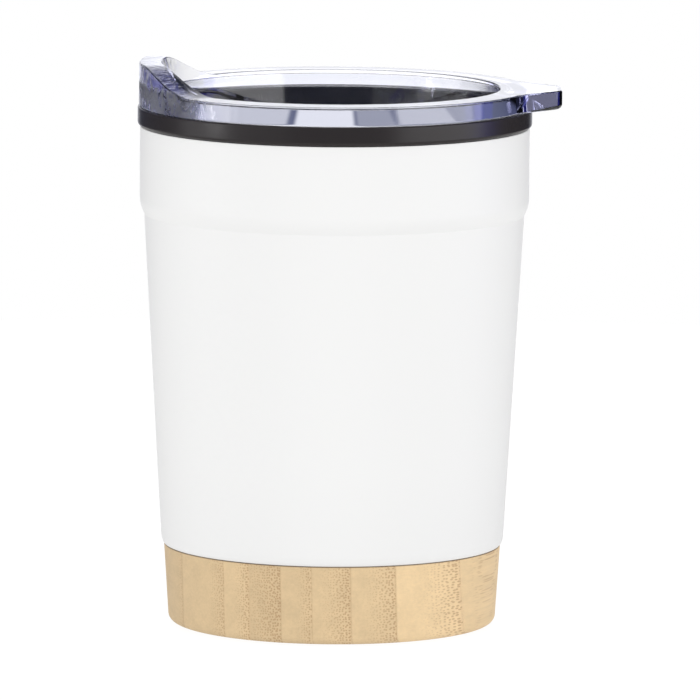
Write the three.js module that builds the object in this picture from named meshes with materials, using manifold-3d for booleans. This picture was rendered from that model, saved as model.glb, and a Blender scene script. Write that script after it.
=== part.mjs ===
// Insulated tumbler: a coated steel shell over a moulded liner, on a bamboo base, with a clear press-in lid.
// Millimetres, +Z up. The origin is on the cup's axis, on the surface that the cup stands on.
// The lid's drinking spout is at -X and its lift tab is at +X.

import * as THREE from 'three';
import { mergeVertices } from 'three/addons/utils/BufferGeometryUtils.js';
import Module from 'manifold-3d';

const wasm = await Module();
wasm.setup();

// Fineness of round shapes
const ROUND_STEPS = 48;
const ARC_STEPS = 4;
const SHOULDER_STEPS = 6;
const SPOUT_STEPS = 26;
const TAB_STEPS = 24;

// Clearances
const BOND_GAP = 0.05;
const LOOSE_GAP = 0.1;
const PLUG_FIT = 0.3;
const SEAL_FIT = 0.25;
const MOUTH_FIT = 0.15;

// Non-slip pad and bamboo base
const PAD_THICKNESS = 1.5;
const PAD_PROUD = 0.3;
const PAD_MARGIN = 5.8;
const BASE_HEIGHT = 16.65;
const BASE_TAPER = 0.95;
const BASE_SETBACK = 0.69;
const BASE_EDGE = 1.7;
const BASE_TOP_CHAMFER = 0.3;

// Steel shell and the disc that closes it
const SHELL_HEIGHT = 88.45;
const SHELL_RADIUS = 40.98;
const SHELL_WALL = 0.5;
const SHOULDER_DROP = 15.0;
const SHOULDER_HEIGHT = 3.5;
const SHOULDER_STEP = 0.97;
const SHELL_TAPER = 3.82;
const FOOT_ROUND_HEIGHT = 2.6;
const FOOT_ROUND_INSET = 0.8;
const LEDGE_WIDTH = 6.4;
const DISC_THICKNESS = 0.5;
const DISC_LAP = 3.5;

// Plug that holds the base to the shell
const PLUG_DEPTH = 6.0;
const PLUG_WALL = 2.0;

// Liner and the gasket round its neck
const RIM_OVERHANG = 0.52;
const RIM_HEIGHT = 4.1;
const RIM_LOWER_EDGE = 0.9;
const RIM_UPPER_EDGE = 0.4;
const LINER_WALL = 1.5;
const NECK_GAP = 0.4;
const NECK_SPARE = 2.0;
const AIR_GAP = 1.5;
const FLOOR_GAP = 2.5;
const FLOOR_ROUND = 3.5;
const GASKET_HEIGHT = 2.0;
const GASKET_DROP = 1.5;

// Lid
const FLANGE_SETBACK = 0.3;
const FLANGE_HEIGHT = 4.0;
const FLANGE_EDGE = 0.4;
const CHANNEL_ROOF = 0.8;
const CHANNEL_LAND = 0.9;
const RECESS_DEPTH = 12.6;
const RECESS_TAPER = 1.3;
const SKIRT_WALL = 1.8;
const SKIRT_LIP = 0.6;
const SKIRT_CHAMFER = 0.5;
const PLATE_THICKNESS = 1.8;
const GROOVE_DROP = 3.6;
const GROOVE_HEIGHT = 2.6;
const GROOVE_DEPTH = 0.9;
const SEAL_REACH = 0.95;

// Drinking spout, on the lid's flange at -X
const SPOUT_RISE = 5.2;
const SPOUT_TOP_WIDTH = 4.7;
const SPOUT_FLAT_ANGLE = 13;
const SPOUT_FOOT_ANGLE = 44;

// Lift tab, on the lid's flange at +X
const TAB_REACH = 6.5;
const TAB_TIP_WIDTH = 9.6;
const TAB_ROOT_WIDTH = 28.6;
const TAB_CORNER = 0.9;
const TAB_FILLET = 0.9;

// Holes in the lid's plate
const SLOT_LENGTH = 14.0;
const SLOT_WIDTH = 5.6;
const SLOT_INSET = 2.6;
const VENT_DIAMETER = 2.2;
const VENT_INSET = 5.0;

// Heights
const baseBottom = PAD_PROUD;
const baseTop = baseBottom + BASE_HEIGHT;
const shellBottom = baseTop + BOND_GAP;
const shellTop = shellBottom + SHELL_HEIGHT;
const shoulderTop = shellTop - SHOULDER_DROP;
const shoulderBottom = shoulderTop - SHOULDER_HEIGHT;
const footTop = shellBottom + FOOT_ROUND_HEIGHT;
const discBottom = shellBottom + SHELL_WALL + BOND_GAP;
const discTop = discBottom + DISC_THICKNESS;
const linerBottom = discTop + FLOOR_GAP;
const rimBottom = shellTop + BOND_GAP;
const rimTop = rimBottom + RIM_HEIGHT;
const flangeBottom = rimTop + LOOSE_GAP;
const flangeTop = flangeBottom + FLANGE_HEIGHT;
const plateTop = flangeTop - RECESS_DEPTH;
const plateBottom = plateTop - PLATE_THICKNESS;
const skirtBottom = plateBottom - SKIRT_LIP;
const grooveTop = flangeBottom - GROOVE_DROP;
const grooveBottom = grooveTop - GROOVE_HEIGHT;
const neckBottom = skirtBottom - NECK_SPARE;
const gasketTop = rimBottom - GASKET_DROP;

// Radii
const shoulderRadius = SHELL_RADIUS - SHOULDER_STEP;
const footRadius = shoulderRadius - SHELL_TAPER;
const footFlatRadius = footRadius - FOOT_ROUND_INSET;
const ledgeRadius = footFlatRadius - LEDGE_WIDTH;
const baseTopRadius = footRadius - BASE_SETBACK;
const baseBottomRadius = baseTopRadius - BASE_TAPER;
const padRadius = baseBottomRadius - BASE_EDGE - PAD_MARGIN;
const plugRadius = ledgeRadius - PLUG_FIT;
const rimRadius = SHELL_RADIUS + RIM_OVERHANG;
const neckRadius = shoulderRadius - SHELL_WALL - NECK_GAP;
const mouthRadius = neckRadius - LINER_WALL;
const linerFootRadius = footRadius - SHELL_WALL - AIR_GAP;
const flangeRadius = rimRadius - FLANGE_SETBACK;
const sealRadius = mouthRadius - MOUTH_FIT;
const skirtRadius = sealRadius - SEAL_REACH;
const recessRadius = skirtRadius - SKIRT_WALL;
const wellRadius = recessRadius - RECESS_TAPER;
const grooveRadius = skirtRadius - GROOVE_DEPTH;

// Corners of the tab's plan on one side, and the direction of its root in degrees from +X
const tabTip = new THREE.Vector2(flangeRadius + TAB_REACH, TAB_TIP_WIDTH / 2);
const tabRootHalf = TAB_ROOT_WIDTH / 2;
const tabRoot = new THREE.Vector2(Math.sqrt(flangeRadius ** 2 - tabRootHalf ** 2), tabRootHalf);
const tabRootAngle = THREE.MathUtils.radToDeg(tabRoot.angle());

// A point of a turned profile: distance from the axis, and height.
function at(radius, height) {
  return new THREE.Vector2(radius, height);
}

// Quarter of an ellipse as profile points, from one angle to another in degrees.
function arc(centreRadius, centreHeight, reach, rise, fromDegrees, toDegrees) {
  const points = [];
  for (let step = 0; step <= ARC_STEPS; step += 1) {
    const angle = THREE.MathUtils.degToRad(THREE.MathUtils.lerp(fromDegrees, toDegrees, step / ARC_STEPS));
    points.push(at(centreRadius + reach * Math.cos(angle), centreHeight + rise * Math.sin(angle)));
  }
  return points;
}

// Solid of revolution about +Z. The profile runs up its outer side and down its inner side.
function turned(profile, closed) {
  const points = closed ? [...profile, profile[0].clone()] : profile;
  const geometry = new THREE.LatheGeometry(points, ROUND_STEPS);
  return geometry.rotateX(Math.PI / 2);
}

// Mesh geometry to solid and back, for joins and cuts.
function toSolid(geometry) {
  const bare = geometry.clone();
  bare.deleteAttribute('normal');
  bare.deleteAttribute('uv');
  const merged = mergeVertices(bare);
  const index = merged.index.array;
  const triangles = [];
  for (let corner = 0; corner < index.length; corner += 3) {
    const [a, b, c] = [index[corner], index[corner + 1], index[corner + 2]];
    if (a !== b && b !== c && c !== a) {
      triangles.push(a, b, c);
    }
  }
  const vertProperties = Float32Array.from(merged.attributes.position.array);
  const triVerts = Uint32Array.from(triangles);
  return new wasm.Manifold(new wasm.Mesh({ numProp: 3, vertProperties, triVerts }));
}

function toGeometry(solid) {
  const mesh = solid.getMesh();
  const geometry = new THREE.BufferGeometry();
  geometry.setAttribute('position', new THREE.BufferAttribute(mesh.vertProperties, 3));
  geometry.setIndex(new THREE.BufferAttribute(mesh.triVerts, 1));
  geometry.computeVertexNormals();
  return geometry;
}

// Round non-slip pad, let into the underside of the base and standing a little proud of it.
function footPad() {
  return turned([at(0, 0), at(padRadius, 0), at(padRadius, PAD_THICKNESS), at(0, PAD_THICKNESS)], false);
}

// Bamboo block turned to a slight taper, with a pocket below for the pad and one above for the plug.
function bambooBase() {
  const padPocketRadius = padRadius + PLUG_FIT;
  const padPocketTop = PAD_THICKNESS + BOND_GAP;
  const plugPocketRadius = plugRadius + PLUG_FIT;
  const plugPocketBottom = baseTop - PLUG_DEPTH - BOND_GAP;
  return turned([
    at(0, padPocketTop),
    at(padPocketRadius, padPocketTop),
    at(padPocketRadius, baseBottom),
    ...arc(baseBottomRadius - BASE_EDGE, baseBottom + BASE_EDGE, BASE_EDGE, BASE_EDGE, -90, 0),
    at(baseTopRadius, baseTop - BASE_TOP_CHAMFER),
    at(baseTopRadius - BASE_TOP_CHAMFER, baseTop),
    at(plugPocketRadius, baseTop),
    at(plugPocketRadius, plugPocketBottom),
    at(0, plugPocketBottom),
  ], false);
}

// Moulded plug, a shallow cup upside down: its top is bonded to the steel disc, its skirt into the bamboo.
function basePlug() {
  const plugTop = discBottom - BOND_GAP;
  const plugBottom = baseTop - PLUG_DEPTH;
  return turned([
    at(0, plugTop - PLUG_WALL),
    at(plugRadius - PLUG_WALL, plugTop - PLUG_WALL),
    at(plugRadius - PLUG_WALL, plugBottom),
    at(plugRadius, plugBottom),
    at(plugRadius, plugTop),
    at(0, plugTop),
  ], false);
}

// One face of the shell's wall from its foot to its top, set in from the outside by the given depth.
// The shoulder starts at a crease and runs softly into the upper part.
function shellFace(depth) {
  const points = arc(footFlatRadius, footTop, FOOT_ROUND_INSET - depth, FOOT_ROUND_HEIGHT - depth, -90, 0);
  for (let step = 0; step <= SHOULDER_STEPS; step += 1) {
    const share = step / SHOULDER_STEPS;
    const swell = 1 - (1 - share) ** 2;
    const radius = shoulderRadius + SHOULDER_STEP * swell - depth;
    points.push(at(radius, shoulderBottom + SHOULDER_HEIGHT * share));
  }
  points.push(at(SHELL_RADIUS - depth, shellTop));
  return points;
}

// Steel shell: a thin tapered wall with a shoulder near the top and a ledge turned in at the foot.
function outerShell() {
  return turned([
    at(ledgeRadius, shellBottom),
    ...shellFace(0),
    ...shellFace(SHELL_WALL).reverse(),
    at(ledgeRadius, shellBottom + SHELL_WALL),
  ], true);
}

// Steel disc welded on the ledge, inside the shell.
function shellBottomDisc() {
  const discRadius = ledgeRadius + DISC_LAP;
  return turned([
    at(0, discBottom),
    at(discRadius, discBottom),
    at(discRadius, discTop),
    at(0, discTop),
  ], false);
}

// Moulded liner: a tapered cup whose rim lies over the shell's top edge.
function innerLiner() {
  const outerRound = FLOOR_ROUND + LINER_WALL;
  const roundRadius = linerFootRadius - outerRound;
  const roundHeight = linerBottom + outerRound;
  return turned([
    at(0, linerBottom),
    ...arc(roundRadius, roundHeight, outerRound, outerRound, -90, 0),
    at(neckRadius, neckBottom),
    at(neckRadius, rimBottom),
    ...arc(rimRadius - RIM_LOWER_EDGE, rimBottom + RIM_LOWER_EDGE, RIM_LOWER_EDGE, RIM_LOWER_EDGE, -90, 0),
    at(rimRadius, rimTop - RIM_UPPER_EDGE),
    at(rimRadius - RIM_UPPER_EDGE, rimTop),
    at(mouthRadius + RIM_UPPER_EDGE, rimTop),
    at(mouthRadius, rimTop - RIM_UPPER_EDGE),
    at(mouthRadius, neckBottom),
    ...arc(roundRadius, roundHeight, FLOOR_ROUND, FLOOR_ROUND, 0, -90),
    at(0, linerBottom + LINER_WALL),
  ], false);
}

// Gasket that fills the space between the liner's neck and the shell.
function rimGasket() {
  const innerRadius = neckRadius + LOOSE_GAP;
  const outerRadius = SHELL_RADIUS - SHELL_WALL - LOOSE_GAP;
  const gasketBottom = gasketTop - GASKET_HEIGHT;
  return turned([
    at(innerRadius, gasketBottom),
    at(outerRadius, gasketBottom),
    at(outerRadius, gasketTop),
    at(innerRadius, gasketTop),
  ], true);
}

// Silicone ring in the lid's groove, with two soft lips that press on the liner's mouth.
function lidSeal() {
  const innerRadius = grooveRadius + SEAL_FIT;
  const rootRadius = skirtRadius + LOOSE_GAP;
  const bottom = grooveBottom + LOOSE_GAP;
  const lipHeight = (GROOVE_HEIGHT - 2 * LOOSE_GAP) / 2;
  const points = [at(innerRadius, bottom)];
  for (const lipBottom of [bottom, bottom + lipHeight]) {
    points.push(at(rootRadius, lipBottom));
    points.push(at(sealRadius, lipBottom + lipHeight / 3));
    points.push(at(sealRadius, lipBottom + 2 * lipHeight / 3));
  }
  points.push(at(rootRadius, bottom + 2 * lipHeight));
  points.push(at(innerRadius, bottom + 2 * lipHeight));
  return turned(points, true);
}

// The smaller and the larger of two sizes, with the change from one to the other rounded off.
function roundedMin(a, b, rounding) {
  const overlap = Math.max(rounding - Math.abs(a - b), 0);
  return Math.min(a, b) - overlap * overlap / (4 * rounding);
}

function roundedMax(a, b, rounding) {
  return -roundedMin(-a, -b, rounding);
}

// Distance from the axis to the flange's edge in a direction, in degrees from +X. The tab has a straight
// tip and straight flanks, rounded at the tip's corners and where the flanks run into the flange.
function flangeReach(degrees) {
  if (Math.abs(degrees) > 2 * tabRootAngle) {
    return flangeRadius;
  }
  const angle = THREE.MathUtils.degToRad(Math.abs(degrees));
  const direction = new THREE.Vector2(Math.cos(angle), Math.sin(angle));
  const flank = tabRoot.clone().sub(tabTip);
  const toTip = tabTip.x / direction.x;
  const toFlank = tabTip.cross(flank) / direction.cross(flank);
  return roundedMax(flangeRadius, roundedMin(toTip, toFlank, TAB_CORNER), TAB_FILLET);
}

// Rise of the flange's top in a direction, in degrees from -X: flat over the spout, sloping softly each side.
function spoutRise(degrees) {
  const fall = THREE.MathUtils.smoothstep(Math.abs(degrees), SPOUT_FLAT_ANGLE, SPOUT_FOOT_ANGLE);
  return SPOUT_RISE * (1 - fall);
}

// Section of the lid's flange and skirt in a direction, in degrees from +X, as distances and heights.
// A channel with a sloping roof runs round under the flange, so that the moulding has no thick parts.
function lidSection(degrees) {
  const reach = flangeReach(degrees);
  const rise = spoutRise(180 - Math.abs(degrees));
  const crestRadius = THREE.MathUtils.lerp(recessRadius, flangeRadius - SPOUT_TOP_WIDTH, rise / SPOUT_RISE);
  return [
    at(wellRadius, skirtBottom),
    at(skirtRadius - SKIRT_CHAMFER, skirtBottom),
    at(skirtRadius, skirtBottom + SKIRT_CHAMFER),
    at(skirtRadius, grooveBottom),
    at(grooveRadius, grooveBottom),
    at(grooveRadius, grooveTop),
    at(skirtRadius, grooveTop),
    at(skirtRadius, flangeTop - CHANNEL_ROOF),
    at(flangeRadius - CHANNEL_LAND, flangeBottom),
    at(reach - FLANGE_EDGE, flangeBottom),
    at(reach, flangeBottom + FLANGE_EDGE),
    at(reach, flangeTop + rise),
    at(crestRadius, flangeTop + rise),
    at(recessRadius, flangeTop),
    at(wellRadius, plateTop),
  ];
}

// Directions of the lid's sections, in degrees from +X: close together at the tab and the spout.
function lidDirections() {
  const tabSide = 1.4 * tabRootAngle;
  const spoutSide = 180 - SPOUT_FOOT_ANGLE;
  const plainSteps = Math.round(ROUND_STEPS * (spoutSide - tabSide) / 360);
  const spans = [
    [-tabSide, tabSide, TAB_STEPS],
    [tabSide, spoutSide, plainSteps],
    [spoutSide, 180 + SPOUT_FOOT_ANGLE, SPOUT_STEPS],
    [180 + SPOUT_FOOT_ANGLE, 360 - tabSide, plainSteps],
  ];
  const directions = [];
  for (const [from, to, steps] of spans) {
    for (let step = 0; step < steps; step += 1) {
      const degrees = THREE.MathUtils.lerp(from, to, step / steps);
      directions.push(degrees > 180 ? degrees - 360 : degrees);
    }
  }
  return directions;
}

// Flange and skirt of the lid: its sections joined in a ring.
function lidRing() {
  const directions = lidDirections();
  const sections = directions.map(lidSection);
  const corners = sections[0].length;
  const positions = [];
  sections.forEach((section, place) => {
    const angle = THREE.MathUtils.degToRad(directions[place]);
    for (const point of section) {
      positions.push(point.x * Math.cos(angle), point.x * Math.sin(angle), point.y);
    }
  });
  const index = [];
  for (let place = 0; place < sections.length; place += 1) {
    const next = (place + 1) % sections.length;
    for (let corner = 0; corner < corners; corner += 1) {
      const after = (corner + 1) % corners;
      const [a, b] = [place * corners + corner, next * corners + corner];
      const [c, d] = [next * corners + after, place * corners + after];
      index.push(a, b, c, a, c, d);
    }
  }
  const geometry = new THREE.BufferGeometry();
  geometry.setAttribute('position', new THREE.Float32BufferAttribute(positions, 3));
  geometry.setIndex(index);
  return geometry;
}

// Slot with round ends through the lid's plate, beside the spout.
function drinkingSlot() {
  const half = SLOT_WIDTH / 2;
  const straight = SLOT_LENGTH / 2 - half;
  const outline = new THREE.Shape();
  outline.moveTo(half, -straight);
  outline.absarc(0, straight, half, 0, Math.PI, false);
  outline.absarc(0, -straight, half, Math.PI, 2 * Math.PI, false);
  const depth = PLATE_THICKNESS + 2 * SKIRT_LIP;
  const options = { depth, bevelEnabled: false, curveSegments: 2 * ARC_STEPS };
  const geometry = new THREE.ExtrudeGeometry(outline, options);
  return geometry.translate(SLOT_INSET + half - wellRadius, 0, plateBottom - SKIRT_LIP);
}

// Small round air hole through the lid's plate, beside the tab.
function ventHole() {
  const height = PLATE_THICKNESS + 2 * SKIRT_LIP;
  const geometry = new THREE.CylinderGeometry(VENT_DIAMETER / 2, VENT_DIAMETER / 2, height, 3 * ARC_STEPS);
  geometry.rotateX(Math.PI / 2);
  return geometry.translate(wellRadius - VENT_INSET, 0, (plateBottom + plateTop) / 2);
}

// Clear lid: the ring closed by a plate deep in its recess, with a drinking slot and an air hole.
function lid() {
  const plateRadius = (wellRadius + skirtRadius) / 2;
  const plate = turned([
    at(0, plateBottom),
    at(plateRadius, plateBottom),
    at(plateRadius, plateTop),
    at(0, plateTop),
  ], false);
  const whole = toSolid(lidRing()).add(toSolid(plate));
  return toGeometry(whole.subtract(toSolid(drinkingSlot())).subtract(toSolid(ventHole())));
}

// Finishes
const coatedSteel = { color: 0xf4f4f2, roughness: 0.5, metalness: 0.1 };
const bareSteel = { color: 0xb9bbbd, roughness: 0.35, metalness: 1.0 };
const blackPlastic = { color: 0x35322f, roughness: 0.45, metalness: 0.0 };
const clearPlastic = { color: 0xdcdcf0, roughness: 0.05, metalness: 0.0, transparent: true, opacity: 0.35 };
const silicone = { color: 0x2e2d2d, roughness: 0.6, metalness: 0.0 };
const bamboo = { color: 0xdcc199, roughness: 0.6, metalness: 0.0 };
const greyFoam = { color: 0x4a4a4a, roughness: 0.9, metalness: 0.0 };

const pieces = [
  ['foot_pad', footPad(), greyFoam],
  ['bamboo_base', bambooBase(), bamboo],
  ['base_plug', basePlug(), blackPlastic],
  ['outer_shell', outerShell(), coatedSteel],
  ['shell_bottom', shellBottomDisc(), bareSteel],
  ['inner_liner', innerLiner(), blackPlastic],
  ['rim_gasket', rimGasket(), silicone],
  ['lid_seal', lidSeal(), silicone],
  ['lid', lid(), clearPlastic],
];

const tumbler = new THREE.Group();
for (const [name, geometry, finish] of pieces) {
  const mesh = new THREE.Mesh(geometry, new THREE.MeshStandardMaterial(finish));
  mesh.name = name;
  tumbler.add(mesh);
}

export default tumbler;
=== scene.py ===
"""Insulated tumbler: bamboo base, coated steel shell, moulded liner and clear lid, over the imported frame."""
import math

import bpy
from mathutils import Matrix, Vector


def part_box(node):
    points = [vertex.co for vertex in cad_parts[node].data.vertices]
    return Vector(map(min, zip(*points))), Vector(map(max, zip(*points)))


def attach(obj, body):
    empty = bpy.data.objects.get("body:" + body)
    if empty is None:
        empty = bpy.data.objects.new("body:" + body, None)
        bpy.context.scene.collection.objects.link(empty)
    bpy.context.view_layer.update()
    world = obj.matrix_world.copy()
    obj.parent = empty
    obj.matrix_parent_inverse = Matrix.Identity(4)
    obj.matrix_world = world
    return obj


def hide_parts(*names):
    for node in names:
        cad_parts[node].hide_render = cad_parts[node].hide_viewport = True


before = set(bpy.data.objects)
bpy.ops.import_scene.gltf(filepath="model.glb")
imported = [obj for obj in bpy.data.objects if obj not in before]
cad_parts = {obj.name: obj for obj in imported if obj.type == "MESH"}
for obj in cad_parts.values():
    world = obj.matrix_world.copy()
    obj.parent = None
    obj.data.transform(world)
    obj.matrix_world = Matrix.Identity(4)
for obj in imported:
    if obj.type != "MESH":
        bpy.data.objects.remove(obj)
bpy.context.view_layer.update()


# Bamboo base: a block of bamboo slats glued face to face, turned on a lathe to a slight taper, sanded and
# lacquered. It hangs on the plug under the shell, and a shallow pocket in its underside takes the pad.
base_low, base_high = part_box("bamboo_base")
pad_low, pad_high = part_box("foot_pad")
plug_low, plug_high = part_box("base_plug")
base_taper = 0.00095
base_edge = 0.0017
base_top_edge = 0.0003
pocket_gap = 0.0003
pocket_edge = 0.0004
base_top_radius = base_high.x
base_bottom_radius = base_top_radius - base_taper
pad_pocket_radius = pad_high.x + pocket_gap
plug_pocket_radius = plug_high.x + pocket_gap
merge_distance = 0.000001


def rounded(centre_radius, centre_height, size, start, end, steps=8):
    """Points of an arc in a turned profile, from one angle to another in degrees."""
    points = []
    for step in range(steps + 1):
        angle = math.radians(start + (end - start) * step / steps)
        points.append((centre_radius + size * math.cos(angle), centre_height + size * math.sin(angle)))
    return points


def turned_piece(name, profile, sides=256, ring=False):
    """A turned solid, drawn out from a circle along (radius, height) points. A ring ends where it starts."""
    bpy.ops.object.select_all(action="DESELECT")
    radius, height = profile[0]
    fill = "NOTHING" if ring else "NGON"
    bpy.ops.mesh.primitive_circle_add(vertices=sides, radius=radius, fill_type=fill, location=(0, 0, height))
    piece = bpy.context.object
    piece.name = name
    piece.data.name = name
    bpy.ops.object.transform_apply(location=True, rotation=False, scale=False)
    bpy.ops.object.mode_set(mode="EDIT")
    bpy.ops.mesh.select_mode(type="EDGE")
    bpy.ops.mesh.select_all(action="SELECT")
    for next_radius, next_height in profile[1:]:
        growth = next_radius / radius
        bpy.ops.mesh.extrude_edges_move(TRANSFORM_OT_translate={"value": (0, 0, next_height - height)})
        bpy.ops.transform.resize(value=(growth, growth, 1), center_override=(0, 0, 0))
        radius, height = next_radius, next_height
    if not ring:
        bpy.ops.mesh.edge_face_add()
    bpy.ops.mesh.select_all(action="SELECT")
    bpy.ops.mesh.remove_doubles(threshold=merge_distance)
    bpy.ops.mesh.normals_make_consistent(inside=False)
    bpy.ops.object.mode_set(mode="OBJECT")
    return piece


def smooth_finish(piece, crease=35):
    """Shades a piece smooth up to a crease angle, with its flat faces kept flat beside rounded edges."""
    bpy.ops.object.select_all(action="DESELECT")
    piece.select_set(True)
    bpy.context.view_layer.objects.active = piece
    bpy.ops.object.shade_smooth_by_angle(angle=math.radians(crease))
    flats = piece.modifiers.new("flats", "WEIGHTED_NORMAL")
    flats.keep_sharp = True
    bpy.ops.object.modifier_apply(modifier=flats.name)


bamboo_base = turned_piece("turned_base", [
    (pad_pocket_radius, pad_high.z),
    (pad_pocket_radius, base_low.z + pocket_edge),
    *rounded(pad_pocket_radius + pocket_edge, base_low.z + pocket_edge, pocket_edge, 180, 270, 4),
    *rounded(base_bottom_radius - base_edge, base_low.z + base_edge, base_edge, -90, 0, 10),
    *rounded(base_top_radius - base_top_edge, base_high.z - base_top_edge, base_top_edge, 0, 90, 4),
    (plug_pocket_radius, base_high.z),
    (plug_pocket_radius, plug_low.z),
])
smooth_finish(bamboo_base)
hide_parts("bamboo_base")
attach(bamboo_base, "cup")


def new_material(name):
    """A new material, with its node tree and its Principled shader."""
    material = bpy.data.materials.new(name)
    material.use_nodes = True
    return material, material.node_tree, material.node_tree.nodes["Principled BSDF"]


def put(tree, kind, settings=None, **inputs):
    """A node of a kind, with its settings and its inputs: numbers, colours or other nodes' outputs."""
    node = tree.nodes.new(kind)
    for key, value in (settings or {}).items():
        setattr(node, key, value)
    for key, value in inputs.items():
        name = key.replace("_", " ")
        socket = node.inputs[int(key[1:])] if key[0] == "i" and key[1:].isdigit() else node.inputs[name]
        if isinstance(value, bpy.types.NodeSocket):
            tree.links.new(value, socket)
        else:
            socket.default_value = value
    return node


def math_of(tree, operation, first, second=0.0, third=0.0):
    """The result of a Math node."""
    return put(tree, "ShaderNodeMath", {"operation": operation}, i0=first, i1=second, i2=third).outputs[0]


def product(tree, first, *factors):
    """Several values multiplied together."""
    for factor in factors:
        first = math_of(tree, "MULTIPLY", first, factor)
    return first


def fade(tree, value, start, end, low=0.0, high=1.0):
    """A soft change from one level to another as a value goes from a start to an end."""
    return put(tree, "ShaderNodeMapRange", {"interpolation_type": "SMOOTHSTEP"}, Value=value, From_Min=start,
               From_Max=end, To_Min=low, To_Max=high).outputs[0]


def mixed(tree, share, first, second):
    """A first colour with a share of a second one."""
    return put(tree, "ShaderNodeMix", {"data_type": "RGBA"}, i0=share, i6=first, i7=second).outputs[2]


# The slats stand upright side by side. Their fibres run nearly front to back, so the front shows end grain:
# dots of fibre bundles that crowd and darken towards one face of each slat. The sides show long streaks.
slat_turn = math.radians(20)
slat_joints = (-0.0239, -0.01175, -0.00565, 0.0016, 0.00826, 0.01573, 0.02377, 0.0332)
slat_tones = (0.91, 0.965, 1.00, 0.93, 0.98, 1.00, 1.04, 1.19, 1.13)
bundle_starts = (0.80, 0.55, 0.20, -0.60, 0.35, 0.00, 0.15, 0.30, 0.10)
slat_reach = 0.0365
joint_half_share = 0.0003
crowding_end = 1.15
crowding_power = 0.8
bundle_spacing = 0.00056
bundle_scatter = 0.7
bundle_least_size = 0.18
bundle_size_gain = 0.16
bundle_edge = (-0.11, 0.09)
bundle_strength = 0.62
slat_shift = 487.0
waver_strength = 0.30
fibre_strength = 0.20
dark_face = (0.95, 1.0)
dark_face_strength = 0.22
joint_shadow_height = 0.00030
relief_depth = 0.0001
bamboo_light = (0.740, 0.550, 0.320)
bamboo_bundle = (0.410, 0.215, 0.095, 1)
# The last colour is a painted shadow for the crease under the shell's edge.
painted_crease_shadow = (0.180, 0.130, 0.090, 1)

material, tree, shader = new_material("laminated_bamboo")
place = put(tree, "ShaderNodeTexCoord").outputs["Object"]
across = put(tree, "ShaderNodeVectorMath", {"operation": "DOT_PRODUCT"}, i0=place,
             i1=(math.cos(slat_turn), -math.sin(slat_turn), 0)).outputs["Value"]
along = put(tree, "ShaderNodeVectorMath", {"operation": "DOT_PRODUCT"}, i0=place,
            i1=(math.sin(slat_turn), math.cos(slat_turn), 0)).outputs["Value"]
up = put(tree, "ShaderNodeSeparateXYZ", Vector=place).outputs["Z"]
spread = put(tree, "ShaderNodeMapRange", Value=across, From_Min=-slat_reach, From_Max=slat_reach).outputs[0]


def slat_ramp(values):
    """A ramp across the block with two stops for each slat, at its first and its last face."""
    ramp = put(tree, "ShaderNodeValToRGB", Fac=spread)
    stops = ramp.color_ramp.elements
    stops.remove(stops[1])
    places = [0.0]
    for joint in slat_joints:
        share = (joint + slat_reach) / (2 * slat_reach)
        places += [share - joint_half_share, share + joint_half_share]
    places.append(1.0)
    for number, (share, value) in enumerate(zip(places, values)):
        stop = stops.new(share) if number else stops[0]
        stop.position = share
        stop.color = (value, value, value, 1)
    return ramp.outputs["Color"]


def wood_noise(per_metre_across, per_metre_along, detail, roughness):
    """Noise in the wood that is drawn out along the fibres."""
    stretched = put(
        tree, "ShaderNodeCombineXYZ",
        X=math_of(tree, "MULTIPLY", across, per_metre_across),
        Y=math_of(tree, "MULTIPLY", up, per_metre_across),
        Z=math_of(tree, "MULTIPLY", along, per_metre_along),
    ).outputs[0]
    noise = put(tree, "ShaderNodeTexNoise", Vector=stretched, Scale=1.0, Detail=detail, Roughness=roughness)
    return noise.outputs["Fac"]


# A ramp holds levels from 0 to 1, so tones of up to 2 and starts from -1 to 1 are squeezed into it.
slat_place = slat_ramp((0.0, 1.0) * len(slat_tones))
slat_tone = math_of(tree, "MULTIPLY", slat_ramp([tone / 2 for tone in slat_tones for face in (0, 1)]), 2.0)
squeezed_start = slat_ramp([0.5 + start / 2 for start in bundle_starts for face in (0, 1)])
bundle_start = math_of(tree, "MULTIPLY", math_of(tree, "SUBTRACT", squeezed_start, 0.5), 2.0)
waver = math_of(tree, "SUBTRACT", wood_noise(260.0, 45.0, 5.0, 0.65), 0.5)
fibres = wood_noise(1700.0, 40.0, 3.0, 0.6)
bundle_place = put(
    tree, "ShaderNodeCombineXYZ",
    X=math_of(tree, "MULTIPLY_ADD", across, 1 / bundle_spacing, waver),
    Y=math_of(tree, "ADD", math_of(tree, "MULTIPLY_ADD", up, 1 / bundle_spacing, waver),
              math_of(tree, "MULTIPLY", slat_tone, slat_shift)),
).outputs[0]
from_bundle = put(tree, "ShaderNodeTexVoronoi", {"feature": "F1", "voronoi_dimensions": "2D"},
                  Vector=bundle_place, Scale=1.0, Randomness=bundle_scatter).outputs["Distance"]
crowding = fade(tree, slat_place, bundle_start, crowding_end)
bundle_size = math_of(tree, "MULTIPLY_ADD", crowding, bundle_size_gain, bundle_least_size)
bundle_mask = fade(tree, math_of(tree, "SUBTRACT", bundle_size, from_bundle), *bundle_edge)
bundle_depth = math_of(tree, "MULTIPLY", bundle_mask, math_of(tree, "POWER", crowding, crowding_power))
bundle_share = math_of(tree, "MAXIMUM", math_of(tree, "MULTIPLY", bundle_depth, bundle_strength),
                       fade(tree, slat_place, *dark_face, 0.0, dark_face_strength))
shade = product(tree, slat_tone, math_of(tree, "MULTIPLY_ADD", waver, waver_strength, 1.0),
                math_of(tree, "MULTIPLY_ADD", fibres, fibre_strength, 1 - fibre_strength / 2))
flesh = put(tree, "ShaderNodeVectorMath", {"operation": "SCALE"}, i0=bamboo_light, Scale=shade).outputs[0]
with_bundles = mixed(tree, bundle_share, flesh, bamboo_bundle)
# Painted shadow: the top rim of the base is darkened where the shell's edge shades the crease between the two
# parts.
joint_shadow = fade(tree, up, base_high.z - joint_shadow_height, base_high.z)
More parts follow.
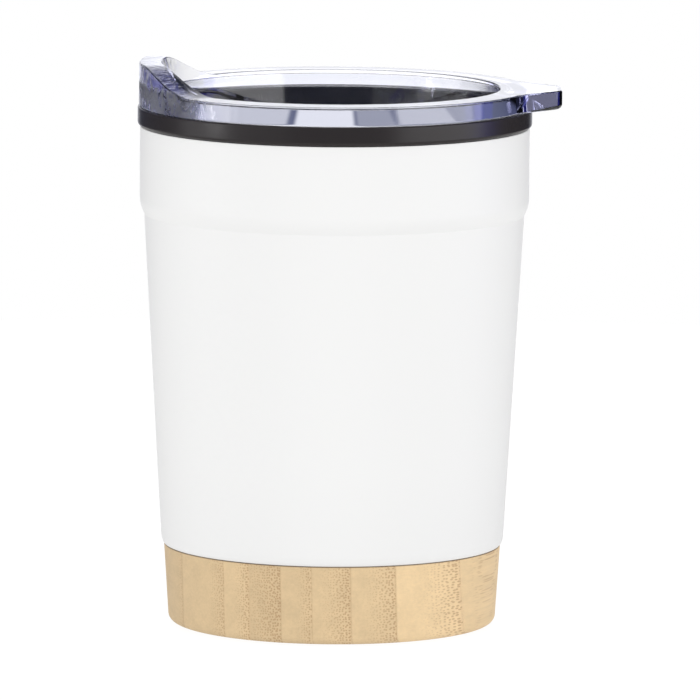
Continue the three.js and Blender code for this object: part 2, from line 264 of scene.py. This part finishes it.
tree.links.new(mixed(tree, joint_shadow, with_bundles, painted_crease_shadow), shader.inputs["Base Color"])
shader.inputs["Roughness"].default_value = 0.55
relief = put(tree, "ShaderNodeBump", Strength=0.15, Distance=relief_depth,
             Height=math_of(tree, "SUBTRACT", fibres, bundle_depth)).outputs[0]
tree.links.new(relief, shader.inputs["Normal"])
bamboo_base.data.materials.append(material)


# Non-slip pad: a disc punched from dark foam rubber and glued into the pocket under the base,
# with its lower edge a little rounded by the punch.
pad_edge = 0.0003
foot_pad = turned_piece("punched_pad", [
    *rounded(pad_high.x - pad_edge, pad_low.z + pad_edge, pad_edge, -90, 0, 4),
    (pad_high.x, pad_high.z),
])
smooth_finish(foot_pad)
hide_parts("foot_pad")
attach(foot_pad, "cup")

fine_grain = bpy.data.node_groups.new("fine_grain", "ShaderNodeTree")
fine_grain.interface.new_socket("Grains per metre", in_out="INPUT", socket_type="NodeSocketFloat")
fine_grain.interface.new_socket("Depth", in_out="INPUT", socket_type="NodeSocketFloat")
fine_grain.interface.new_socket("Normal", in_out="OUTPUT", socket_type="NodeSocketVector")
asked = put(fine_grain, "NodeGroupInput").outputs
place = put(fine_grain, "ShaderNodeTexCoord").outputs["Object"]
specks = put(fine_grain, "ShaderNodeTexNoise", Vector=place, Scale=asked["Grains per metre"],
             Detail=2.0).outputs["Fac"]
relief = put(fine_grain, "ShaderNodeBump", Strength=1.0, Distance=asked["Depth"], Height=specks).outputs[0]
put(fine_grain, "NodeGroupOutput", Normal=relief)


def grained_finish(name, colour, roughness, grains_per_metre, grain_depth):
    """A material of one colour with a fine grain, and its shader."""
    material, tree, shader = new_material(name)
    shader.inputs["Base Color"].default_value = colour
    shader.inputs["Roughness"].default_value = roughness
    grain = put(tree, "ShaderNodeGroup", {"node_tree": fine_grain}, Grains_per_metre=grains_per_metre,
                Depth=grain_depth)
    tree.links.new(grain.outputs["Normal"], shader.inputs["Normal"])
    return material, shader


foam_rubber, shader = grained_finish("foam_rubber", (0.03, 0.03, 0.032, 1), 0.85, 3000.0, 0.00012)
foot_pad.data.materials.append(foam_rubber)


# Plug: a shallow moulded cup, upside down, that holds the base on. Its top is bonded to the steel disc and
# its skirt into the bamboo, so it is never seen. It is moulded in the same satin black plastic as the liner.
black_moulding, shader = grained_finish("black_moulding", (0.026, 0.0222, 0.0222, 1), 0.27, 2500.0, 0.00001)
shader.inputs["Specular IOR Level"].default_value = 0.26


def finish_solid(node, material):
    """Gives one of the frame's own solids a material."""
    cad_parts[node].data.materials.clear()
    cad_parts[node].data.materials.append(material)


finish_solid("base_plug", black_moulding)


# Steel shell: thin stainless sheet drawn to a taper, with a shoulder rolled in near the top and the bottom
# edge turned in to a ledge. The outside has a satin white powder coat.
shell_low, shell_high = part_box("outer_shell")
shell_wall = 0.0005
shoulder_drop = 0.0150
shoulder_height = 0.0035
shoulder_step = 0.00097
shell_taper = 0.00382
foot_round_height = 0.0026
foot_round_inset = 0.0008
ledge_width = 0.0064
shell_radius = shell_high.x
shoulder_radius = shell_radius - shoulder_step
foot_radius = shoulder_radius - shell_taper
foot_flat_radius = foot_radius - foot_round_inset
ledge_radius = foot_flat_radius - ledge_width
shoulder_bottom = shell_high.z - shoulder_drop - shoulder_height


def shell_face(depth, steps=16):
    """One face of the shell's wall from the foot to the top, set in from the outside by a depth."""
    points = []
    for step in range(steps + 1):
        angle = math.radians(-90 + 90 * step / steps)
        radius = foot_flat_radius + (foot_round_inset - depth) * math.cos(angle)
        height = shell_low.z + foot_round_height + (foot_round_height - depth) * math.sin(angle)
        points.append((radius, height))
    for step in range(steps + 1):
        share = step / steps
        radius = shoulder_radius + shoulder_step * (1 - (1 - share) ** 2) - depth
        points.append((radius, shoulder_bottom + shoulder_height * share))
    points.append((shell_radius - depth, shell_high.z))
    return points


outer_shell = turned_piece("drawn_shell", [
    (ledge_radius, shell_low.z),
    *shell_face(0),
    *reversed(shell_face(shell_wall)),
    (ledge_radius, shell_low.z + shell_wall),
    (ledge_radius, shell_low.z),
], ring=True)
smooth_finish(outer_shell, 20)
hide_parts("outer_shell")
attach(outer_shell, "cup")

powder_coat, shader = grained_finish("white_powder_coat", (0.90, 0.90, 0.895, 1), 0.48, 900.0, 0.00001)
shader.inputs["Specular IOR Level"].default_value = 0.4
outer_shell.data.materials.append(powder_coat)


# Steel disc: a round punched from plain rolled sheet. It is welded on the shell's ledge, inside, where it
# closes the shell, and the plug is bonded to its underside.
rolled_steel, shader = grained_finish("rolled_steel", (0.62, 0.63, 0.64, 1), 0.35, 4000.0, 0.000006)
shader.inputs["Metallic"].default_value = 1.0
finish_solid("shell_bottom", rolled_steel)


# Liner: a tapered cup moulded in black plastic. It hangs in the shell by its rim, which lies over the shell's
# top edge as a black band with a rounded lower edge.
liner_low, liner_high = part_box("inner_liner")
rim_height = 0.0041
rim_lower_edge = 0.0009
rim_upper_edge = 0.0004
liner_wall = 0.0015
neck_gap = 0.0004
neck_length = 0.0129
air_gap = 0.0015
floor_round = 0.0035
rim_radius = liner_high.x
neck_radius = shoulder_radius - shell_wall - neck_gap
mouth_radius = neck_radius - liner_wall
liner_foot_radius = foot_radius - shell_wall - air_gap
rim_bottom = liner_high.z - rim_height
neck_bottom = liner_high.z - neck_length
outer_round = floor_round + liner_wall
round_radius = liner_foot_radius - outer_round
round_height = liner_low.z + outer_round

inner_liner = turned_piece("moulded_liner", [
    *rounded(round_radius, round_height, outer_round, -90, 0, 8),
    (neck_radius, neck_bottom),
    (neck_radius, rim_bottom),
    *rounded(rim_radius - rim_lower_edge, rim_bottom + rim_lower_edge, rim_lower_edge, -90, 0, 8),
    *rounded(rim_radius - rim_upper_edge, liner_high.z - rim_upper_edge, rim_upper_edge, 0, 90, 5),
    *rounded(mouth_radius + rim_upper_edge, liner_high.z - rim_upper_edge, rim_upper_edge, 90, 180, 5),
    (mouth_radius, neck_bottom),
    *rounded(round_radius, round_height, floor_round, 0, -90, 8),
])
smooth_finish(inner_liner)
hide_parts("inner_liner")
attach(inner_liner, "cup")

inner_liner.data.materials.append(black_moulding)


# Gasket: a plain ring of dark silicone, squeezed between the liner's neck and the shell below the rim. It
# keeps water out of the air gap between the two.
dark_silicone, shader = grained_finish("dark_silicone", (0.03, 0.029, 0.029, 1), 0.6, 1500.0, 0.00001)
finish_solid("rim_gasket", dark_silicone)


# Lid: one clear moulding with a faint blue tint. A thick flange lies on the liner's rim, with the drinking
# spout raised from it at one side and the lift tab drawn out at the other. A skirt and a plate go down into
# the mouth.
lid_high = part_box("lid")[1]
lid_sides = 720
flange_setback = 0.0003
flange_gap = 0.0001
flange_height = 0.0040
lid_edge = 0.00035
channel_roof = 0.00055
channel_land = 0.0009
channel_fillet = 0.00025
recess_depth = 0.0126
recess_taper = 0.0013
recess_fillet = 0.0012
plate_thickness = 0.0018
skirt_wall = 0.0018
skirt_lip = 0.0006
skirt_chamfer = 0.0005
seal_reach = 0.00095
mouth_fit = 0.00015
groove_drop = 0.0036
groove_height = 0.0026
groove_depth = 0.0009
spout_foot_drop = 0.0006
flange_radius = rim_radius - flange_setback
flange_bottom = liner_high.z + flange_gap
flange_top = flange_bottom + flange_height
skirt_radius = mouth_radius - mouth_fit - seal_reach
recess_radius = skirt_radius - skirt_wall
well_radius = recess_radius - recess_taper
groove_radius = skirt_radius - groove_depth
groove_top = flange_bottom - groove_drop
groove_bottom = groove_top - groove_height
plate_top = flange_top - recess_depth
plate_bottom = plate_top - plate_thickness
skirt_bottom = plate_bottom - skirt_lip
spout_foot_ring = flange_top - spout_foot_drop
channel_top = flange_top - channel_roof
channel_slope = math.atan2(channel_top - flange_bottom, flange_radius - channel_land - skirt_radius)
channel_setback = channel_fillet / math.tan(math.pi / 4 - channel_slope / 2)

lid = turned_piece("clear_lid", [
    (well_radius - recess_fillet, plate_bottom),
    *rounded(well_radius - skirt_lip, skirt_bottom, skirt_lip, 90, 0, 4),
    (skirt_radius - skirt_chamfer, skirt_bottom),
    (skirt_radius, skirt_bottom + skirt_chamfer),
    (skirt_radius, groove_bottom),
    (groove_radius, groove_bottom),
    (groove_radius, groove_top),
    (skirt_radius, groove_top),
    *rounded(skirt_radius + channel_fillet, channel_top - channel_setback, channel_fillet, 180,
             90 - math.degrees(channel_slope)),
    (flange_radius - channel_land, flange_bottom),
    *rounded(flange_radius - lid_edge, flange_bottom + lid_edge, lid_edge, -90, 0, 6),
    *rounded(flange_radius - lid_edge, flange_top - lid_edge, lid_edge, 0, 90, 5),
    *rounded(recess_radius + lid_edge, flange_top - lid_edge, lid_edge, 90, 180, 5),
    (recess_radius, spout_foot_ring),
    *rounded(well_radius - recess_fillet, plate_top + recess_fillet, recess_fillet, 0, -90, 6),
], sides=lid_sides)

spout_rise = lid_high.z - flange_top
spout_top_width = 0.0047
spout_flat_angle = 13
spout_foot_angle = 44
crest_shift = flange_radius - spout_top_width - recess_radius
tab_reach = lid_high.x - flange_radius
tab_tip_half = 0.0048
tab_root_half = 0.0143
tab_corner = 0.0009
tab_fillet = 0.0009
tab_lower_edge = 0.0011
tab_root_x = math.sqrt(flange_radius ** 2 - tab_root_half ** 2)
tab_root_angle = math.atan2(tab_root_half, tab_root_x)
hair = 0.00001


def rounded_min(a, b, rounding):
    """The smaller of two lengths, with the change from one to the other rounded off."""
    overlap = max(rounding - abs(a - b), 0)
    return min(a, b) - overlap * overlap / (4 * rounding)


def flange_reach(angle):
    """Distance from the axis to the flange's edge: straight tip and flanks at the tab, round elsewhere."""
    angle = abs(angle)
    if angle > 2 * tab_root_angle:
        return flange_radius
    tip_x = flange_radius + tab_reach
    flank_x, flank_y = tab_root_x - tip_x, tab_root_half - tab_tip_half
    to_tip = tip_x / math.cos(angle)
    flank_turn = math.cos(angle) * flank_y - math.sin(angle) * flank_x
    to_flank = (tip_x * flank_y - tab_tip_half * flank_x) / flank_turn
    return -rounded_min(-flange_radius, -rounded_min(to_tip, to_flank, tab_corner), tab_fillet)


def spout_share(angle):
    """How far the flange's top has risen to the spout's top, from 0 to 1."""
    from_spout = 180 - abs(math.degrees(angle))
    fall = min(max((from_spout - spout_flat_angle) / (spout_foot_angle - spout_flat_angle), 0), 1)
    return 1 - fall * fall * (3 - 2 * fall)


# The flange's top is raised and narrowed to the spout, and its outer edge is drawn out to the tab, where the
# lower edge gets a larger rounding.
for vertex in lid.data.vertices:
    x, y, height = vertex.co
    radius, angle = math.hypot(x, y), math.atan2(y, x)
    if height < flange_bottom - hair or height < spout_foot_ring - hair and radius < skirt_radius:
        continue
    reach, share = flange_reach(angle), spout_share(angle)
    from_edge = flange_radius - radius
    if height > flange_top - lid_edge - hair:
        height += spout_rise * share
        if radius < recess_radius + lid_edge + hair:
            radius += crest_shift * share
    if from_edge < lid_edge + hair:
        growth = 1.0
        if height < flange_bottom + lid_edge + hair:
            growth += (tab_lower_edge / lid_edge - 1) * (reach - flange_radius) / tab_reach
            height = flange_bottom + (height - flange_bottom) * growth
        radius = reach - from_edge * growth
    vertex.co = (radius * math.cos(angle), radius * math.sin(angle), height)

slot_length = 0.0140
slot_width = 0.0056
slot_inset = 0.0026
slot_end_flat = 0.0001
vent_diameter = 0.0022
vent_inset = 0.0050
slot_place = well_radius - slot_inset - slot_width / 2
plate_middle = plate_bottom + plate_thickness / 2
cutter_height = 3 * plate_thickness


def cut_through(piece, cutter):
    """Cuts a cutter's shape out of a piece and clears the cutter away."""
    bpy.ops.object.select_all(action="DESELECT")
    bpy.context.view_layer.objects.active = piece
    cut = piece.modifiers.new("cut", "BOOLEAN")
    cut.object = cutter
    cut.operation = "DIFFERENCE"
    cut.solver = "EXACT"
    bpy.ops.object.modifier_apply(modifier=cut.name)
    bpy.data.objects.remove(cutter)


bpy.ops.object.select_all(action="DESELECT")
bpy.ops.mesh.primitive_cube_add(size=1, location=(-slot_place, 0, plate_middle))
slot_cutter = bpy.context.object
slot_cutter.dimensions = (slot_width, slot_length, cutter_height)
bpy.ops.object.transform_apply(location=True, rotation=False, scale=True)
bpy.ops.object.mode_set(mode="EDIT")
bpy.ops.mesh.select_mode(type="EDGE")
bpy.ops.mesh.select_all(action="DESELECT")
bpy.ops.object.mode_set(mode="OBJECT")
for edge in slot_cutter.data.edges:
    low, high = (slot_cutter.data.vertices[number].co for number in edge.vertices)
    edge.select = abs(low.z - high.z) > plate_thickness
bpy.ops.object.mode_set(mode="EDIT")
bpy.ops.mesh.bevel(offset=(slot_width - slot_end_flat) / 2, segments=16, affect="EDGES")
bpy.ops.object.mode_set(mode="OBJECT")
cut_through(lid, slot_cutter)

bpy.ops.object.select_all(action="DESELECT")
bpy.ops.mesh.primitive_cylinder_add(vertices=48, radius=vent_diameter / 2, depth=cutter_height,
                                    location=(well_radius - vent_inset, 0, plate_middle))
vent_cutter = bpy.context.object
bpy.ops.object.transform_apply(location=True, rotation=False, scale=False)
cut_through(lid, vent_cutter)
smooth_finish(lid)
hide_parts("lid")
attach(lid, "lid")

# The spout is rippled by its mould on the outer wall and the crest, and its wall is frosted in streaks.
# Painted shade: its wall is painted bluer in patches and the sloping crest dark blue, for the dark liner and
# the blue room that the clear plastic shows there. All this fades out at the spout's far end. The tab's edge
# has the same painted blue shade.
clear_tint = (0.55, 0.58, 0.82, 1)
# Painted shade colours: blue for the spout's wall and dark blue for its sloping crest.
painted_spout_blue_shade = (0.24, 0.24, 0.84, 1)
painted_crest_dark_shade = (0.05, 0.05, 0.40, 1)
tint_density = 9.0
clear_roughness = 0.02
spout_ends = (-0.022, -0.034)
spout_far_end = (0.024, 0.002)
spout_band = (0.0365, 0.0385)
wall_skin = (0.0008, 0.0003)
raised_heights = (0.0003, 0.0018)
ripples_per_metre = 700.0
ripple_depth = 0.0003
streaks_per_metre = 480.0
streak_stretch = (1.0, 1.0, 0.6)
frosted_levels = (0.40, 0.54)
frosted_least = 0.30
frosted_roughness = 0.72
frosting_lost_above = 0.8
painted_patch_levels = (0.44, 0.54)
painted_patch_least = 0.10
crest_painted_shade_share = 0.9
wall_painted_shade_share = 0.5
spout_top_skin = (0.0002, 0.0008)
tab_start = (0.034, 0.038)
tab_painted_shade_share = 0.6
tab_top_skin = (0.0001, 0.0005)
tab_bottom_skin = (0.0001, 0.0004)

material, tree, shader = new_material("clear_blue_plastic")
shader.inputs["IOR"].default_value = 1.55
shader.inputs["Transmission Weight"].default_value = 1.0
place = put(tree, "ShaderNodeTexCoord").outputs["Object"]
on_lid = put(tree, "ShaderNodeSeparateXYZ", Vector=place).outputs
flat_place = put(tree, "ShaderNodeCombineXYZ", X=on_lid["X"], Y=on_lid["Y"]).outputs[0]
from_axis = put(tree, "ShaderNodeVectorMath", {"operation": "LENGTH"}, i0=flat_place).outputs["Value"]
outer_wall = fade(tree, from_axis, *(flange_radius - depth for depth in wall_skin))
spout_raised = fade(tree, on_lid["Z"], *(flange_top + rise for rise in raised_heights))
spout_side = product(tree, fade(tree, on_lid["X"], *spout_ends), fade(tree, from_axis, *spout_band),
                     fade(tree, on_lid["Y"], *spout_far_end))

rippled = math_of(tree, "MULTIPLY", spout_side, math_of(tree, "MAXIMUM", outer_wall, spout_raised))
ripple = put(tree, "ShaderNodeTexNoise", Vector=place, Scale=ripples_per_metre, Detail=2.0,
             Roughness=0.5).outputs["Fac"]
waves = put(tree, "ShaderNodeBump", Strength=1.0, Distance=ripple_depth,
            Height=math_of(tree, "MULTIPLY", ripple, rippled)).outputs[0]
tree.links.new(waves, shader.inputs["Normal"])

streak_place = put(tree, "ShaderNodeVectorMath", {"operation": "MULTIPLY"}, i0=place,
                   i1=streak_stretch).outputs[0]
streaks = put(tree, "ShaderNodeTexNoise", Vector=streak_place, Scale=streaks_per_metre, Detail=2.0,
              Roughness=0.5).outputs["Fac"]
frosting = product(tree, spout_side, outer_wall, fade(tree, streaks, *frosted_levels, frosted_least),
                   math_of(tree, "MULTIPLY_ADD", spout_raised, -frosting_lost_above, 1.0))
tree.links.new(math_of(tree, "MULTIPLY_ADD", frosting, frosted_roughness, clear_roughness),
               shader.inputs["Roughness"])

# Painted shade: the sloping crest above the outer wall gets a dark blue painted into the base colour.
crest = math_of(tree, "MULTIPLY_ADD", outer_wall, -crest_painted_shade_share, crest_painted_shade_share)
painted_shade_patches = math_of(tree, "MAXIMUM", fade(tree, streaks, *painted_patch_levels, 1.0, painted_patch_least), crest)
spout_painted_shade = product(tree, spout_side, math_of(tree, "MULTIPLY_ADD", spout_raised, 1 - wall_painted_shade_share, wall_painted_shade_share),
                     painted_shade_patches, fade(tree, on_lid["Z"], *(lid_high.z - depth for depth in spout_top_skin)))
# Painted shade: the tab's outer edge is painted bluer, for what the clear plastic shows there.
tab_painted_shade = product(tree, fade(tree, on_lid["X"], *tab_start, 0.0, tab_painted_shade_share), outer_wall,
                   fade(tree, on_lid["Z"], *(flange_top - depth for depth in tab_top_skin)),
                   fade(tree, on_lid["Z"], *(flange_bottom + depth for depth in tab_bottom_skin)))
# Painted shade: blue and dark blue mixed into the clear plastic's base colour where it shows the dark liner
# and the blue room.
body = mixed(tree, math_of(tree, "MAXIMUM", spout_painted_shade, tab_painted_shade), (1, 1, 1, 1), painted_spout_blue_shade)
body = mixed(tree, product(tree, spout_painted_shade, crest, spout_raised), body, painted_crest_dark_shade)
tree.links.new(body, shader.inputs["Base Color"])
tint = put(tree, "ShaderNodeVolumeAbsorption", Color=clear_tint, Density=tint_density)
tree.links.new(tint.outputs[0], tree.nodes["Material Output"].inputs["Volume"])
lid.data.materials.append(material)


# Lid seal: a silicone ring with two soft lips, moulded like the gasket and stretched into the groove round
# the lid's skirt. Its lips press on the liner's mouth and hold the lid in it.
seal_low, seal_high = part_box("lid_seal")
seal_fit = 0.00025
seal_root_gap = 0.0001
lip_edge = 0.0002
seal_inside = groove_radius + seal_fit
seal_root = skirt_radius + seal_root_gap
lip_height = (seal_high.z - seal_low.z) / 2
seal_outline = [(seal_inside, seal_low.z)]
for lip_bottom in (seal_low.z, seal_low.z + lip_height):
    seal_outline.append((seal_root, lip_bottom))
    seal_outline += rounded(seal_high.x - lip_edge, lip_bottom + lip_height / 2, lip_edge, -80, 80, 8)
seal_outline += [
    (seal_root, seal_high.z),
    (seal_inside, seal_high.z),
    (seal_inside, seal_low.z),
]
lid_seal = turned_piece("lipped_seal", seal_outline, ring=True)
smooth_finish(lid_seal)
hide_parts("lid_seal")
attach(lid_seal, "seal")

lid_seal.data.materials.append(dark_silicone)


# Studio floor: a pale sheet that keeps a soft shadow. The camera sees it nearly white. It is clear from
# below, and for the soft light between surfaces, which gets the floor's share from the room.
floor_radius = 0.5
floor_drop = 0.0002
floor_grey = (0.85, 0.85, 0.85, 1)
floor_glow = 1.09
glow_unseen = 0.12
glow_seen = 0.86
bpy.ops.object.select_all(action="DESELECT")
bpy.ops.mesh.primitive_circle_add(vertices=96, radius=floor_radius, fill_type="NGON",
                                  location=(0, 0, -floor_drop))
floor = bpy.context.object
floor.name = "pale_floor"

material, tree, shader = new_material("pale_floor")
tree.nodes.remove(shader)
rays = put(tree, "ShaderNodeLightPath").outputs
seen = math_of(tree, "MAXIMUM", rays["Is Camera Ray"], rays["Is Transmission Ray"])
matt = put(tree, "ShaderNodeBsdfDiffuse", Color=floor_grey).outputs[0]
glow = put(tree, "ShaderNodeEmission", Color=(1, 1, 1, 1), Strength=floor_glow).outputs[0]
glow_share = put(tree, "ShaderNodeMapRange", Value=seen, To_Min=glow_unseen, To_Max=glow_seen).outputs[0]
blend = put(tree, "ShaderNodeMixShader", Fac=glow_share, i1=matt, i2=glow).outputs[0]
below = put(tree, "ShaderNodeNewGeometry").outputs["Backfacing"]
through = math_of(tree, "MAXIMUM", below, rays["Is Diffuse Ray"])
clear = put(tree, "ShaderNodeBsdfTransparent").outputs[0]
surface = put(tree, "ShaderNodeMixShader", Fac=through, i1=blend, i2=clear).outputs[0]
tree.links.new(surface, tree.nodes["Material Output"].inputs["Surface"])
floor.data.materials.append(material)


# Studio room: white all round for the camera, and an even soft light. What the gloss and the clear plastic
# show is a dim room with a white wall behind, four strips of light overhead, a broad panel and a blue card at
# the right, and a panel, a narrow strip and a card at the left. Bearings are degrees from the front.
room_shade = (0.13, 0.145, 0.24)
back_wall_level = 1.32
least_steepness = 0.02
overhead_strips = (
    # left edge, right edge and far edge, in heights of the ceiling, and level
    (-0.88, -0.245, 2.6, 0.42),
    (-0.203, 0.098, 1.2, 0.70),
    (0.114, 0.300, 1.2, 0.21),
    (0.334, 0.62, 1.2, 0.21),
)
strip_near_edge = -1.2
strip_side_soft = 0.015
strip_end_soft = 0.05
panel_heights = (-12, 40)
corner_heights = (-100, 10)
floor_heights = (-100, -7)
fill_from_front = 0.77
fill_from_back = 0.17
fill_from_floor = 0.80

world = bpy.data.worlds.new("studio")
bpy.context.scene.world = world
world.use_nodes = True
tree = world.node_tree
direction = put(tree, "ShaderNodeTexCoord").outputs["Generated"]
toward = put(tree, "ShaderNodeSeparateXYZ", Vector=direction).outputs
toward_front = math_of(tree, "MULTIPLY", toward["Y"], -1.0)
bearing = math_of(tree, "DEGREES", math_of(tree, "ARCTAN2", toward["X"], toward_front))
behind = math_of(tree, "ABSOLUTE", bearing)
height_angle = math_of(tree, "DEGREES", math_of(tree, "ARCSINE", toward["Z"]))


def between(value, low, high, soft):
    """1 where a value lies between two limits, with soft edges."""
    return math_of(tree, "MULTIPLY", fade(tree, value, low - soft, low + soft),
                   fade(tree, value, high - soft, high + soft, 1.0, 0.0))


def panel(bearings, heights, soft, level):
    """A lit rectangle in the room, given in degrees."""
    return product(tree, between(bearing, *bearings, soft), between(height_angle, *heights, soft), level)


back_wall = product(tree, between(behind, 165, 200, 4), between(height_angle, -30, 16, 3), back_wall_level)
back_glow = math_of(tree, "MULTIPLY", between(behind, 172, 200, 3), between(height_angle, 16, 46, 3))
steepness = math_of(tree, "MAXIMUM", toward["Z"], least_steepness)
ceiling_x = math_of(tree, "DIVIDE", toward["X"], steepness)
ceiling_y = math_of(tree, "DIVIDE", toward["Y"], steepness)
overhead = 0.0
for left_edge, right_edge, far_edge, level in overhead_strips:
    strip = math_of(tree, "MULTIPLY", between(ceiling_x, left_edge, right_edge, strip_side_soft),
                    between(ceiling_y, strip_near_edge, far_edge, strip_end_soft))
    overhead = math_of(tree, "MULTIPLY_ADD", strip, level, overhead)
overhead = math_of(tree, "MULTIPLY", overhead, between(height_angle, 15, 100, 5))
right_panel = panel((37, 96), panel_heights, 2, 2.3)
left_panel = panel((-100, -64), panel_heights, 2, 1.4)
left_strip = panel((-77.5, -69.5), (-4.6, 0.8), 0.7, 13.0)
left_card = panel((-62, -27), panel_heights, 2, 0.45)
lit = back_wall
for area in (back_glow, overhead, right_panel, left_panel, left_strip, left_card):
    lit = math_of(tree, "ADD", lit, area)
blue_card = panel((90, 106), panel_heights, 2, 1.2)
panels = put(tree, "ShaderNodeCombineXYZ", X=lit, Y=lit, Z=math_of(tree, "ADD", lit, blue_card)).outputs[0]
dark_corners = math_of(tree, "ADD", panel((108, 163), corner_heights, 5, 0.85),
                       panel((-163, -108), corner_heights, 5, 0.55))
dim_room = put(tree, "ShaderNodeVectorMath", {"operation": "SCALE"}, i0=room_shade,
               Scale=math_of(tree, "SUBTRACT", 1.0, dark_corners)).outputs[0]
room = put(tree, "ShaderNodeVectorMath", {"operation": "ADD"}, i0=dim_room, i1=panels).outputs[0]
fill = put(tree, "ShaderNodeMapRange", Value=toward["Y"], From_Min=-1.0, From_Max=1.0,
           To_Min=fill_from_front, To_Max=fill_from_back).outputs[0]
from_floor = between(height_angle, *floor_heights, 2)
fill = put(tree, "ShaderNodeMix", i0=from_floor, i2=fill, i3=fill_from_floor).outputs[0]
soft_fill = put(tree, "ShaderNodeCombineXYZ", X=fill, Y=fill, Z=fill).outputs[0]
rays = put(tree, "ShaderNodeLightPath").outputs
glossy = math_of(tree, "MAXIMUM", rays["Is Glossy Ray"], rays["Is Transmission Ray"])
indirect = mixed(tree, glossy, soft_fill, room)
colour = mixed(tree, rays["Is Camera Ray"], indirect, (1, 1, 1, 1))
tree.links.new(colour, tree.nodes["Background"].inputs["Color"])


# Studio lights: four square soft boxes that face the middle of the cup, two from the front corners, one from
# the back and one from above. They only light: what is mirrored is drawn in the room.
cup_middle = Vector((0, 0, 0.06))


def soft_light(name, place, size, power):
    """A square soft box at a place, turned to the middle of the cup."""
    lamp = bpy.data.lights.new(name, "AREA")
    lamp.shape = "SQUARE"
    lamp.size = size
    lamp.energy = power
    holder = bpy.data.objects.new(name, lamp)
    holder.location = place
    holder.rotation_euler = (cup_middle - Vector(place)).to_track_quat("-Z", "Y").to_euler()
    holder.visible_camera = False
    holder.visible_glossy = False
    holder.visible_transmission = False
    bpy.context.collection.objects.link(holder)


soft_light("front_left_light", (-1.44, -0.84, 0.3), 0.8, 9.3)
soft_light("front_right_light", (1.44, -0.84, 0.3), 0.8, 9.3)
soft_light("back_light", (0, 1.60, 0.7), 0.8, 12.5)
soft_light("top_light", (0, -0.3, 1.5), 0.9, 3)


# Camera: far off with a long lens, a little above the cup and turned a touch clockwise, as the photograph
# was. It is placed so that the middle of the shell's top falls on the pixel where the photograph has it.
camera_distance = 2.200
camera_rise = math.radians(6.30)
camera_roll = math.radians(0.403)
sight_height = shell_high.z
picture_side = 700
picture_focus = 10457
sight_pixel = (334.94, 125.655)
camera = bpy.data.cameras.new("photo_camera")
camera.sensor_width = 36
camera.lens = picture_focus / picture_side * camera.sensor_width
camera.clip_start = 0.1
camera.clip_end = 20
holder = bpy.data.objects.new("photo_camera", camera)
bpy.context.collection.objects.link(holder)
forward = Vector((0, math.cos(camera_rise), -math.sin(camera_rise)))
upward = Vector((0, math.sin(camera_rise), math.cos(camera_rise)))
right = Vector((1, 0, 0))
off_x, off_y = (picture_side / 2 - pixel for pixel in sight_pixel)
turned_x = math.cos(camera_roll) * off_x + math.sin(camera_roll) * off_y
turned_y = -math.sin(camera_roll) * off_x + math.cos(camera_roll) * off_y
sight = forward + right * (turned_x / picture_focus) - upward * (turned_y / picture_focus)
holder.location = Vector((0, 0, sight_height)) - camera_distance * forward
holder.rotation_euler = sight.to_track_quat("-Z", "Y").to_euler()
holder.rotation_euler.rotate_axis("Z", camera_roll)
bpy.context.scene.camera = holder

bpy.context.scene.view_settings.view_transform = "Standard"
